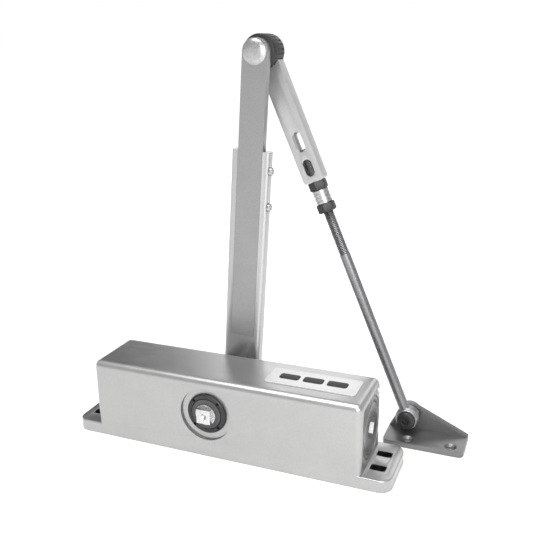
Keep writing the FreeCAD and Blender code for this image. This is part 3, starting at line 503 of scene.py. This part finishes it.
PLUG_SOCKET = 14 * MM
PLUG_SOCKET_DEPTH = 5 * MM
PLUG_RIM = 3.5 * MM
PLUG_GROOVE = 0.5 * MM
PLUG_CENTRE = 9 * MM


def build_plugs():
    """Turned end plugs with a hexagon socket."""
    for side, out in (("left", -1), ("right", 1)):
        low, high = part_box(side + "_end_plug")
        radius = high.y - 0.02 * MM
        face = low.x if out < 0 else high.x
        back = high.x if out < 0 else low.x
        chamfer = 0.8 * MM
        rim = radius - PLUG_RIM
        sunk = face - out * PLUG_GROOVE
        plug = lathe(side + "_plug_turned", [
            (back, radius), (face - out * chamfer, radius), (face, radius - chamfer),
            (face, rim), (sunk, rim - 0.3 * MM), (sunk, rim - 1.2 * MM),
            (face, rim - 1.5 * MM), (face, PLUG_CENTRE)], 96)
        ends = sorted((face - out * PLUG_SOCKET_DEPTH, face + out * MM))
        carve(plug, hexagon("socket", PLUG_SOCKET, *ends))
        if out > 0:
            hole = [(low.x - MM, ROD_BORE), (high.x + MM, ROD_BORE)]
            carve(plug, lathe("screw_hole", hole, 48))
        settle(soften(plug, 0.2 * MM, 2, 30), Matrix.Translation((0, 0, SPINDLE.z)))
        keep(plug, "body", "plug_steel", side + "_end_plug")


BEARING_NUT_BORE = 11.5 * MM
PIN_HOLE_RADIUS = 1.2 * MM
PIN_HOLE_DEPTH = 2 * MM


def build_bearing_nuts():
    """Bearing nuts with four holes for a pin wrench."""
    for side, out in (("front", -1), ("rear", 1)):
        low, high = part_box(side + "_bearing_nut")
        radius = (high.x - low.x) / 2
        inner = BEARING_NUT_BORE
        face = low.y if out < 0 else high.y
        back = high.y if out < 0 else low.y
        edge = 0.9 * MM
        nut = lathe(side + "_nut_turned", [
            (back, inner), (back, radius), (face - out * edge, radius), (face, radius - edge),
            (face, inner + 0.8 * MM), (face - out * 0.8 * MM, inner)], 96, hollow=True)
        for i in range(4):
            angle = math.radians(45 + 90 * i)
            middle = (radius + inner) / 2
            ends = sorted((face - out * PIN_HOLE_DEPTH, face + out * MM))
            pin = lathe("pin_hole", [(end, PIN_HOLE_RADIUS) for end in ends], 24)
            carve(nut, settle(pin, Matrix.Translation(
                (0, middle * math.cos(angle), middle * math.sin(angle)))))
        settle(soften(nut, 0.12 * MM, 2, 30), across(SPINDLE.x, SPINDLE.z))
        keep(nut, "body", "dark_steel", side + "_bearing_nut")


BADGE_ROUND = 2.5 * MM
BADGE_BAR = 15 * MM
BADGE_PITCH = 18 * MM
BADGE_BAR_ROUND = 2 * MM


def build_badge():
    """Blank plate with three plain raised bars."""
    low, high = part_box("name_badge")
    plate = block("badge_plate", low, high)
    bevel_edges(plate, BADGE_ROUND, 8, upright)
    bevel_edges(plate, 0.3 * MM, 3, lambda a, b: min(a.z, b.z) > high.z - HAIR)
    keep(smooth(plate), "body", "badge_aluminium", "name_badge")
    bars_low, bars_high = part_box("badge_bars")
    bars = []
    for i in (-1, 0, 1):
        x = (bars_low.x + bars_high.x) / 2 + i * BADGE_PITCH
        bar = block("bar", (x - BADGE_BAR / 2, bars_low.y, bars_low.z),
                    (x + BADGE_BAR / 2, bars_high.y, bars_high.z))
        bevel_edges(bar, BADGE_BAR_ROUND, 6, upright)
        bevel_edges(bar, 0.12 * MM, 2, lambda a, b: min(a.z, b.z) > bars_high.z - HAIR)
        bars.append(bar)
    keep(smooth(join("badge_dark_bars", bars)), "body", "badge_enamel", "badge_bars")


# --------------------------------------------------------------- the main arm
ARM = along(SPINDLE, ELBOW)
FOREARM = along(ELBOW, SHOE)
ARM_LENGTH = math.hypot(ELBOW.x - SPINDLE.x, ELBOW.z - SPINDLE.z)
FOREARM_LENGTH = math.hypot(SHOE.x - ELBOW.x, SHOE.z - ELBOW.z)
BAR_FRONT, BAR_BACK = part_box("main_arm_bar")[0].y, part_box("main_arm_bar")[1].y
CHANNEL_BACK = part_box("main_arm_channel")[1].y
CHANNEL_HALF = 15 * MM
CHANNEL_END = 186 * MM
BAR_HALF = 9.8 * MM
BAR_START = 40 * MM
HUB_RADIUS = 17 * MM
HUB_CHAMFER = 1.5 * MM
FLANGE_ROUND = 2.2 * MM
FLANGE_CORNER = 3 * MM
SQUARE_HALF = 5.5 * MM
SET_SCREWS = (145 * MM, 172 * MM)
SET_SCREW_RADIUS = 1.6 * MM
SET_SCREW_HEAD = 3.2 * MM


def build_channel():
    """Lower arm: hub, floor and two rounded flanges."""
    arm = block("lower_arm", (0, BAR_FRONT, -CHANNEL_HALF),
                (CHANNEL_END, CHANNEL_BACK, CHANNEL_HALF))
    bevel_edges(arm, FLANGE_ROUND, 5, lambda a, b: abs(a.x - b.x) > 10 * MM)
    bevel_edges(arm, FLANGE_CORNER, 5, lambda a, b: min(a.x, b.x) > CHANNEL_END - HAIR
                and abs(a.y - b.y) > 1 * MM and abs(a.z - b.z) < HAIR)
    rim = HUB_RADIUS - HUB_CHAMFER
    hub = lathe("hub", [(BAR_FRONT, rim), (BAR_FRONT + HUB_CHAMFER, HUB_RADIUS),
                        (CHANNEL_BACK - HUB_CHAMFER, HUB_RADIUS), (CHANNEL_BACK, rim)], 96)
    weld(arm, settle(hub, across(0, 0)))
    gap = BAR_HALF + 0.1 * MM
    carve(arm, block("trough", (BAR_START - 0.1 * MM, BAR_FRONT - MM, -gap),
                     (CHANNEL_END + MM, BAR_BACK, gap)))
    settle(arm, ARM)
    half = SQUARE_HALF
    carve(arm, block("square", (SPINDLE.x - half, BAR_FRONT - MM, SPINDLE.z - half),
                     (SPINDLE.x + half, CHANNEL_BACK + MM, SPINDLE.z + half)))
    keep(soften(arm, 0.4 * MM, 3, 40), "spindle", "arm_paint", "main_arm_channel")


def build_bar():
    """Upper arm: a flat bar with a round end and eased edges."""
    bar = block("upper_arm", (BAR_START, BAR_FRONT, -BAR_HALF), (ARM_LENGTH, BAR_BACK, BAR_HALF))
    end = lathe("bar_end", [(BAR_FRONT, BAR_HALF), (BAR_BACK, BAR_HALF)], 96)
    weld(bar, settle(end, across(ARM_LENGTH, 0)))
    bore = lathe("bar_bore", [(BAR_FRONT - MM, RIVET_BORE), (BAR_BACK + MM, RIVET_BORE)], 48)
    carve(bar, settle(bore, across(ARM_LENGTH, 0)))
    keep(settle(soften(bar, 0.9 * MM, 3, 50), ARM), "spindle", "arm_bar_steel", "main_arm_bar")


def build_set_screws():
    """Two small screws through the flange that grip the bar."""
    screws = []
    head, tip = CHANNEL_HALF + 2.5 * MM, BAR_HALF
    for place in SET_SCREWS:
        screw = lathe("grip_screw", [
            (tip, SET_SCREW_RADIUS), (CHANNEL_HALF, SET_SCREW_RADIUS),
            (CHANNEL_HALF, SET_SCREW_HEAD), (head - 0.6 * MM, SET_SCREW_HEAD),
            (head, 2.6 * MM)], 40)
        carve(screw, hexagon("key", 2.5 * MM, head - 1.3 * MM, head + MM))
        middle = Matrix.Translation((place, BAR_FRONT + 3 * MM, 0))
        screws.append(settle(soften(screw, 0.1 * MM, 2, 30),
                             middle @ Matrix.Rotation(math.pi / 2, 4, "Y")))
    screws = settle(join("grip_screws", screws), ARM)
    keep(screws, "spindle", "nut_steel", "arm_set_screws")


def cap_screw(name, shank, shank_end, head, under, top, key):
    """Socket-head screw about X with a domed rim; under and top bound its head."""
    out = math.copysign(1, top - under)
    screw = lathe(name, [
        (shank_end, shank), (under, shank), (under, head - 0.4 * MM),
        (under + out * 0.4 * MM, head), (top - out * 1.4 * MM, head),
        (top - out * 0.5 * MM, head - 0.7 * MM),
        (top, head - 2.2 * MM)], 64)
    carve(screw, hexagon("key", key, *sorted((top - out * 2.4 * MM, top + out * MM))))
    return soften(screw, 0.12 * MM, 2, 30)


CAP_KEY = 5 * MM
ARM_SCREW = 3 * MM
ARM_SCREW_HEAD = 6.5 * MM
WASHER_RADIUS = 10 * MM
COLLAR_BORE = 8 * MM
COLLAR_RADIUS = 11 * MM
COLLAR_WAIST = 10.4 * MM
COLLAR_LAND = 4 * MM


def build_arm_fastening():
    """Screw and washer behind the arm, and the collar between the arm and the casting."""
    low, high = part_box("arm_screw")
    washer_low, washer_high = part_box("arm_washer")
    screw = cap_screw("arm_cap_screw", ARM_SCREW, low.y, ARM_SCREW_HEAD, washer_high.y,
                      high.y, CAP_KEY)
    keep(settle(screw, across(SPINDLE.x, SPINDLE.z)), "spindle", "dark_steel", "arm_screw")
    washer = ring("arm_plain_washer", ARM_SCREW, WASHER_RADIUS, washer_low.y, washer_high.y,
                  WASHER_EDGE)
    keep(settle(washer, across(SPINDLE.x, SPINDLE.z)), "spindle", "nut_steel", "arm_washer")
    low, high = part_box("spindle_spacer")
    spacer = lathe("spindle_collar", [
        (low.y, COLLAR_BORE), (low.y, COLLAR_WAIST), (low.y + 0.6 * MM, COLLAR_RADIUS),
        (low.y + COLLAR_LAND, COLLAR_RADIUS), (low.y + COLLAR_LAND + 0.5 * MM, COLLAR_WAIST),
        (high.y - COLLAR_LAND - 0.5 * MM, COLLAR_WAIST), (high.y - COLLAR_LAND, COLLAR_RADIUS),
        (high.y - 0.6 * MM, COLLAR_RADIUS), (high.y, COLLAR_WAIST),
        (high.y, COLLAR_BORE)], 96, hollow=True)
    keep(settle(smooth(spacer, 30), across(SPINDLE.x, SPINDLE.z)), "spindle", "shaft_steel",
         "spindle_spacer")


# ------------------------------------------------------------------ the elbow
RIVET_RADIUS = 5 * MM
RIVET_HEAD = 9 * MM
COVER_RADIUS = 12.5 * MM
COVER_BORE = 9.4 * MM
COVER_FLOOR = 2.6 * MM
COVER_EDGE = 1.6 * MM
GRIP_GROOVES = 24
GROOVE_RADIUS = 0.55 * MM
MOUTH_HALF = 8.1 * MM


def build_elbow():
    """Domed rivet, its washer, and the moulded cover over the forearm's eye."""
    place = across(ELBOW.x, ELBOW.z)
    low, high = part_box("elbow_rivet")
    washer_low, washer_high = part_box("elbow_washer")
    head, shank = RIVET_HEAD, RIVET_RADIUS
    rivet = lathe("elbow_domed_rivet", [
        (low.y, 3 * MM), (low.y + 0.4 * MM, 5.8 * MM), (low.y + 1.2 * MM, 8 * MM),
        (low.y + 2.2 * MM, head), (BAR_FRONT, head), (BAR_FRONT, shank),
        (washer_high.y, shank), (washer_high.y, head), (high.y - 2.2 * MM, head),
        (high.y - 1.2 * MM, 8 * MM), (high.y - 0.4 * MM, 5.8 * MM), (high.y, 3 * MM)], 64)
    keep(settle(smooth(rivet, 40), place), "spindle", "nut_steel", "elbow_rivet")
    washer = ring("elbow_plain_washer", shank, WASHER_RADIUS, washer_low.y, washer_high.y,
                  WASHER_EDGE)
    keep(settle(washer, place), "spindle", "nut_steel", "elbow_washer")
    low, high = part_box("elbow_cover")
    outer, inner, hole = COVER_RADIUS, COVER_BORE, RIVET_BORE
    floor = low.y + COVER_FLOOR
    edge = COVER_EDGE
    cover = lathe("elbow_moulded_cover", [
        (low.y, hole), (low.y, outer - edge), (low.y + 0.5 * MM, outer - 0.5 * MM),
        (low.y + edge, outer), (high.y - edge, outer), (high.y - 0.5 * MM, outer - 0.5 * MM),
        (high.y, outer - edge), (high.y, inner), (floor, inner), (floor, hole)], 96, hollow=True)
    groove_ends = (low.y + 3 * MM, high.y - 3 * MM)
    for i in range(GRIP_GROOVES):
        if not 10 < i < 14:         # none where the mouth opens
            angle = 2 * math.pi * i / GRIP_GROOVES
            groove = lathe("groove", [(end, GROOVE_RADIUS) for end in groove_ends], 12)
            carve(cover, settle(groove, Matrix.Translation(
                (0, outer * math.sin(angle), outer * math.cos(angle)))))
    settle(cover, Matrix.Rotation(math.pi / 2, 4, "Z"))
    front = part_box("forearm")[0].y - 0.1 * MM
    carve(cover, block("mouth", (0, front, -MOUTH_HALF), (outer + MM, high.y + MM, MOUTH_HALF)))
    settle(smooth(cover, 35), FOREARM)
    keep(cover, "forearm", "cover_plastic", "elbow_cover")


# ---------------------------------------------------------------- the forearm
FOREARM_END = 100 * MM
NUT_LENGTH = 6.5 * MM
SLEEVE_LENGTH = 11 * MM
FOREARM_Y = SHOE.y
FOREARM_HALF = 8 * MM
FOREARM_CORNER = 2 * MM
EYE_RADIUS = 9.3 * MM
BORE_START = 52 * MM
WINDOW_HALF = 3.5 * MM
WINDOWS = ((65 * MM, 73 * MM), (86 * MM, 92 * MM))


def build_forearm():
    """Flat bar with a round eye, a bore from its end and two windows."""
    low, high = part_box("forearm")
    arm = block("forearm_bar", (0, low.y, -FOREARM_HALF), (FOREARM_END, high.y, FOREARM_HALF))
    bevel_edges(arm, FOREARM_CORNER, 4, lambda a, b: min(a.x, b.x) > FOREARM_END - HAIR
                and abs(a.y - b.y) > MM)
    eye = lathe("eye", [(low.y, EYE_RADIUS), (high.y, EYE_RADIUS)], 96)
    weld(arm, settle(eye, across(0, 0)))
    hole = lathe("hole", [(low.y - MM, RIVET_BORE), (high.y + MM, RIVET_BORE)], 48)
    carve(arm, settle(hole, across(0, 0)))
    bore = lathe("bore", [(BORE_START, ROD_BORE), (FOREARM_END + MM, ROD_BORE)], 48)
    carve(arm, settle(bore, Matrix.Translation((0, FOREARM_Y, 0))))
    for start, end in WINDOWS:
        middle = (start + end) / 2
        slot = lathe("window", [(low.y - MM, WINDOW_HALF), (high.y + MM, WINDOW_HALF)], 48)
        settle(slot, across(middle, 0))
        run = (end - start) / 2
        move_points(slot, (run, 0, 0), lambda p: p.x > middle + TINY)
        move_points(slot, (-run, 0, 0), lambda p: p.x < middle - TINY)
        carve(arm, slot)
    keep(settle(soften(arm, 0.8 * MM, 3, 40), FOREARM), "forearm", "arm_paint", "forearm")


LOCK_NUT_FLATS = 12.5 * MM
SLEEVE_RADIUS = 6.1 * MM
SLEEVE_GROOVES = 3
GROOVE_DEPTH = 0.4 * MM


def build_clamp():
    """Two lock nuts with a grooved sleeve between them."""
    place = FOREARM @ Matrix.Translation((0, FOREARM_Y, 0))
    bore = ROD_RADIUS + FIT
    first = FOREARM_END + NUT_LENGTH
    second = first + SLEEVE_LENGTH
    for name, low in (("upper", FOREARM_END), ("lower", second)):
        nut = hex_nut(name + "_hex_nut", LOCK_NUT_FLATS, low, low + NUT_LENGTH, bore)
        keep(settle(nut, place), "forearm", "dark_steel", name + "_lock_nut")
    outer = SLEEVE_RADIUS
    profile = [(first, bore), (first, outer - 0.5 * MM), (first + 0.5 * MM, outer)]
    for i in range(SLEEVE_GROOVES):
        middle = first + SLEEVE_LENGTH * (i + 1) / (SLEEVE_GROOVES + 1)
        root = outer - GROOVE_DEPTH
        profile += [(middle - 0.5 * MM, outer), (middle - 0.3 * MM, root),
                    (middle + 0.3 * MM, root), (middle + 0.5 * MM, outer)]
    profile += [(second - 0.5 * MM, outer), (second, outer - 0.5 * MM), (second, bore)]
    sleeve = settle(smooth(lathe("grooved_sleeve", profile, 64, hollow=True), 30), place)
    keep(sleeve, "forearm", "nut_steel", "clamp_sleeve")


THREAD_PITCH = 1.25 * MM
THREAD_DEPTH = 0.55 * MM
THREAD_START = 75 * MM
THREAD_END = 158 * MM
ROD_EYE = 9 * MM
ROD_EYE_HALF = 4.2 * MM


def build_rod():
    """Rod with a threaded length under the nuts and a forged eye."""
    pitch, depth, start = THREAD_PITCH, THREAD_DEPTH, THREAD_START
    profile = [(start, ROD_RADIUS - depth), (start + 0.5 * MM, ROD_RADIUS)]
    place = start + pitch
    while place < THREAD_END:
        profile += [(place, ROD_RADIUS), (place + 0.5 * pitch, ROD_RADIUS - depth)]
        place += pitch
    neck = FOREARM_LENGTH - 12 * MM
    profile += [(place, ROD_RADIUS), (neck, ROD_RADIUS), (FOREARM_LENGTH - 2 * MM, ROD_RADIUS)]
    stem = settle(smooth(lathe("threaded_rod", profile, 32), 25),
                  Matrix.Translation((0, FOREARM_Y, 0)))
    low, high = FOREARM_Y - ROD_EYE_HALF, FOREARM_Y + ROD_EYE_HALF
    edge = 1.2 * MM
    eye = lathe("rod_eye", [(low, ROD_EYE - edge), (low + edge, ROD_EYE),
                            (high - edge, ROD_EYE), (high, ROD_EYE - edge)], 64)
    weld(stem, settle(eye, across(FOREARM_LENGTH, 0)))
    hole = lathe("eye_hole", [(low - MM, ROD_BORE), (high + MM, ROD_BORE)], 48)
    carve(stem, settle(hole, across(FOREARM_LENGTH, 0)))
    keep(settle(smooth(stem, 30), FOREARM), "rod", "rod_steel", "forearm_rod")


# ------------------------------------------------------------------- the shoe
SHOE_PLATE = 4 * MM
SHOE_CORNER = 4 * MM
LUG_THICKNESS = 6 * MM
LUG_ABOVE_PIVOT = 6.5 * MM
LUG_TOP_HALF = 5 * MM
BOSS_RADIUS = 8.5 * MM
PIVOT_THREAD = 4 * MM
PIVOT_HEAD = 7 * MM
PIVOT_WASHER = 8 * MM
SINK_DEPTH = 1.8 * MM


def build_shoe():
    """Base plate with two countersunk holes, a tapered lug, and the pivot screw."""
    low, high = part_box("shoe_bracket")
    lug_front = high.y - LUG_THICKNESS
    shoe = block("shoe_base", low, (high.x, high.y, SHOE_PLATE))
    bevel_edges(shoe, SHOE_CORNER, 6, lambda a, b: upright(a, b) and a.y < low.y + HAIR)
    tall = SHOE.z + LUG_ABOVE_PIVOT
    lug = block("lug", (low.x, lug_front, SHOE_PLATE), (high.x, high.y, tall))
    narrow = LUG_TOP_HALF
    move_points(lug, (SHOE.x + narrow - high.x, 0, 0),
                lambda p: p.z > tall - HAIR and p.x > SHOE.x)
    move_points(lug, (SHOE.x - narrow - low.x, 0, 0),
                lambda p: p.z > tall - HAIR and p.x < SHOE.x - narrow - HAIR)
    boss = lathe("boss", [(lug_front, BOSS_RADIUS), (high.y, BOSS_RADIUS)], 96)
    weld(shoe, lug)
    weld(shoe, settle(boss, across(SHOE.x, SHOE.z)))
    thread = lathe("thread", [(lug_front - MM, PIVOT_THREAD), (high.y + MM, PIVOT_THREAD)], 48)
    carve(shoe, settle(thread, across(SHOE.x, SHOE.z)))
    screws = next(m for m in frame["record"]["mounts"] if m["name"] == "shoe_screws")
    radius = screws["dims"]["hole_r_mm"] * MM
    for sign in (-1, 1):
        x = screws["pos_m"][0] + sign * screws["dims"]["spacing_x_mm"] * MM / 2
        sink = lathe("sink", [(-MM, radius), (SHOE_PLATE - SINK_DEPTH, radius),
                              (SHOE_PLATE + MM, 2 * radius)], 48)
        middle = Matrix.Translation((x, screws["pos_m"][1], 0))
        carve(shoe, settle(sink, middle @ Matrix.Rotation(-math.pi / 2, 4, "Y")))
    keep(soften(shoe, 0.5 * MM, 3, 40), "shoe", "shoe_paint", "shoe_bracket")
    low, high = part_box("shoe_pivot_screw")
    washer_low, washer_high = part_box("shoe_washer")
    screw = cap_screw("shoe_cap_screw", PIVOT_THREAD, high.y, PIVOT_HEAD, washer_low.y,
                      low.y, CAP_KEY)
    keep(settle(screw, across(SHOE.x, SHOE.z)), "shoe", "dark_steel", "shoe_pivot_screw")
    washer = ring("shoe_plain_washer", PIVOT_THREAD, PIVOT_WASHER, washer_low.y, washer_high.y,
                  WASHER_EDGE)
    keep(settle(washer, across(SHOE.x, SHOE.z)), "shoe", "nut_steel", "shoe_washer")


# ------------------------------------------------------------------ the studio
FLOOR_SIZE = 120
FLOOR_DROP = 0.2 * MM
DARK_PATCH = (-0.75, 0.58, 0.33)
SUN_FROM = (-0.1, -0.22, 0.97)
CAMERA_PLACE = (0.218, -0.4473, 0.2916)
CAMERA_YAW, CAMERA_PITCH, CAMERA_ROLL = -22.9, 16.85, -1.0
CAMERA_LENS = 49.0


def build_floor():
    """Pale floor just under the closer."""
    clear()
    bpy.ops.mesh.primitive_plane_add(size=FLOOR_SIZE, location=(0, 0, -FLOOR_DROP))
    floor = bpy.context.object
    floor.name = "floor"
    material, tree, shader = new_material("pale floor")
    grain = noise(tree, coordinates(tree), 900, 2)
    tree.links.new(ramp(tree, grain, 0.93, 0.95), shader.inputs["Base Color"])
    shader.inputs["Roughness"].default_value = 0.9
    shader.inputs["Specular IOR Level"].default_value = 0.1
    floor.data.materials.append(material)


def softbox(name, place, target, size, power):
    """Rectangular lamp aimed at a point."""
    light = bpy.data.lights.new(name, "AREA")
    light.shape = "RECTANGLE"
    light.size, light.size_y = size
    light.energy = power
    lamp = bpy.data.objects.new(name, light)
    bpy.context.scene.collection.objects.link(lamp)
    lamp.location = place
    lamp.rotation_euler = (Vector(target) - Vector(place)).to_track_quat("-Z", "Y").to_euler()
    return lamp


def light_studio():
    """Key light from the front right, daylight from above, a bright panel behind, and a dark
    patch behind left that the top of the casting mirrors."""
    middle = (0.02, 0, 0.1)
    softbox("key", (0.42, -0.58, 0.42), middle, (0.45, 0.45), 4.2)
    softbox("rim", (-0.1, 1.5, 0.85), middle, (1.4, 0.9), 5.2)
    sun = bpy.data.lights.new("daylight", "SUN")
    sun.energy = 2.1
    sun.angle = math.radians(40)
    lamp = bpy.data.objects.new("daylight", sun)
    bpy.context.scene.collection.objects.link(lamp)
    lamp.rotation_euler = Vector(SUN_FROM).to_track_quat("Z", "Y").to_euler()
    world = bpy.data.worlds.new("studio")
    bpy.context.scene.world = world
    world.use_nodes = True
    tree = world.node_tree
    place = tree.nodes.new("ShaderNodeTexCoord")
    split = tree.nodes.new("ShaderNodeSeparateXYZ")
    tree.links.new(place.outputs["Generated"], split.inputs["Vector"])
    towards = tree.nodes.new("ShaderNodeVectorMath")
    towards.operation = "DOT_PRODUCT"
    towards.inputs[1].default_value = Vector(DARK_PATCH).normalized()
    tree.links.new(place.outputs["Generated"], towards.inputs[0])
    dark = ramp(tree, towards.outputs["Value"], 0.6, 0.02, 0.88, 0.965)
    white = tree.nodes.new("ShaderNodeRGB")
    white.outputs[0].default_value = (1, 1, 1, 1)
    low = ramp(tree, split.outputs["Z"], 1.0, 0.0, 0.07, 0.16)
    tree.links.new(layered(tree, dark, white.outputs[0], low),
                   tree.nodes["Background"].inputs["Color"])
    tree.nodes["Background"].inputs["Strength"].default_value = 1.0


def set_camera():
    """Camera to the right of the closer and above it, turned slightly about its view."""
    place = Vector(CAMERA_PLACE)
    yaw, pitch, roll = (math.radians(a) for a in (CAMERA_YAW, CAMERA_PITCH, CAMERA_ROLL))
    view = Vector((math.sin(yaw) * math.cos(pitch), math.cos(yaw) * math.cos(pitch),
                   -math.sin(pitch)))
    right = Vector((math.cos(yaw), -math.sin(yaw), 0))
    up = right.cross(view)
    turned_right = right * math.cos(roll) + up * math.sin(roll)
    turned_up = up * math.cos(roll) - right * math.sin(roll)
    camera_data = bpy.data.cameras.new("camera")
    camera = bpy.data.objects.new("camera", camera_data)
    bpy.context.scene.collection.objects.link(camera)
    axes = Matrix((turned_right, turned_up, -view)).transposed().to_4x4()
    camera.matrix_world = Matrix.Translation(place) @ axes
    camera_data.sensor_width = 36
    camera_data.lens = CAMERA_LENS
    camera_data.clip_start = 0.01
    bpy.context.scene.camera = camera


set_camera()
build_floor()
light_studio()
for build in (build_casting, build_plugs, build_bearing_nuts, build_badge, build_channel,
              build_bar, build_set_screws, build_arm_fastening, build_elbow, build_forearm,
              build_clamp, build_rod, build_shoe):
    build()
bpy.context.scene.view_settings.view_transform = "Standard"

clear()
